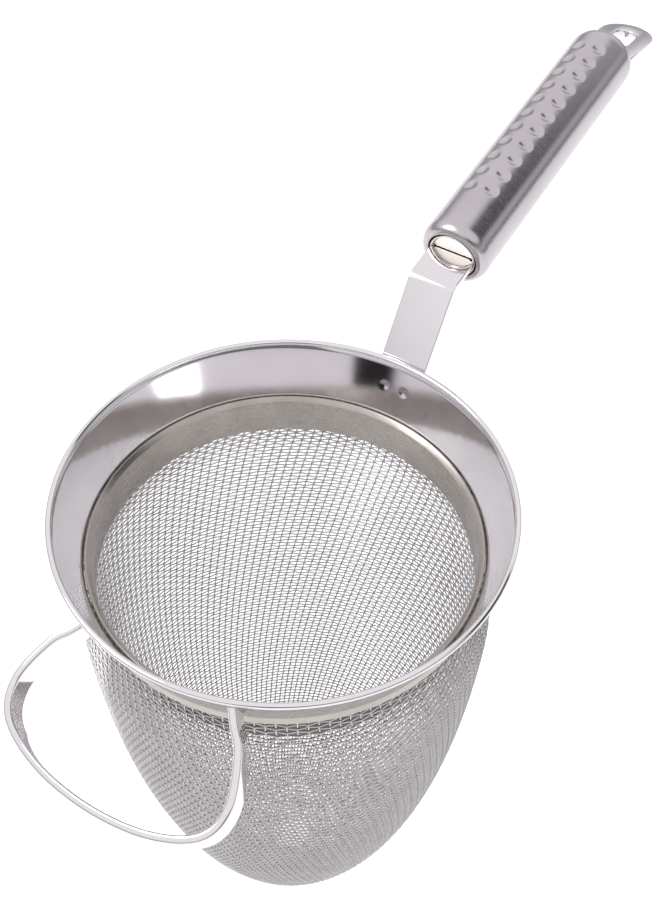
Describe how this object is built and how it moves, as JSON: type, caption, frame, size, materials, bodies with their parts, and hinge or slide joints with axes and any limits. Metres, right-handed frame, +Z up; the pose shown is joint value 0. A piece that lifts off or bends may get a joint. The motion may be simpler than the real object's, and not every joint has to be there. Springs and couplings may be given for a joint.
{
  "type": "tea strainer",
  "caption": "Deep bullet-shaped tea strainer of woven steel mesh under a polished conical rim, with a rest loop for the pot's edge and a hollow tube handle ending in a hanging eye",
  "frame": {"origin": "centre of the lip circle, on the axis of the strainer, at the height of the rolled edge", "axes": "+X runs along the handle away from the rim, +Y across the handle to the left when looking along +X, +Z up out of the rim opening"},
  "size_m": [0.3017, 0.1216, 0.2386],
  "materials": {
    "polished_steel": "stainless sheet and bar, buffed to a mirror",
    "satin_steel": "stainless sheet with a fine satin grain",
    "woven_wire": "plain weave of drawn stainless wire about 0.4 mm thick"
  },
  "bodies": {
    "root": {"rim_funnel": "polished_steel", "clamp_ring": "satin_steel", "mesh_bag": "woven_wire", "rest_loop": "polished_steel", "handle_strap": "polished_steel", "strap_welds": "satin_steel", "handle_tube": "satin_steel", "front_cap": "satin_steel", "rear_cap": "satin_steel", "hanging_eye": "polished_steel"}
  },
  "joints": []
}
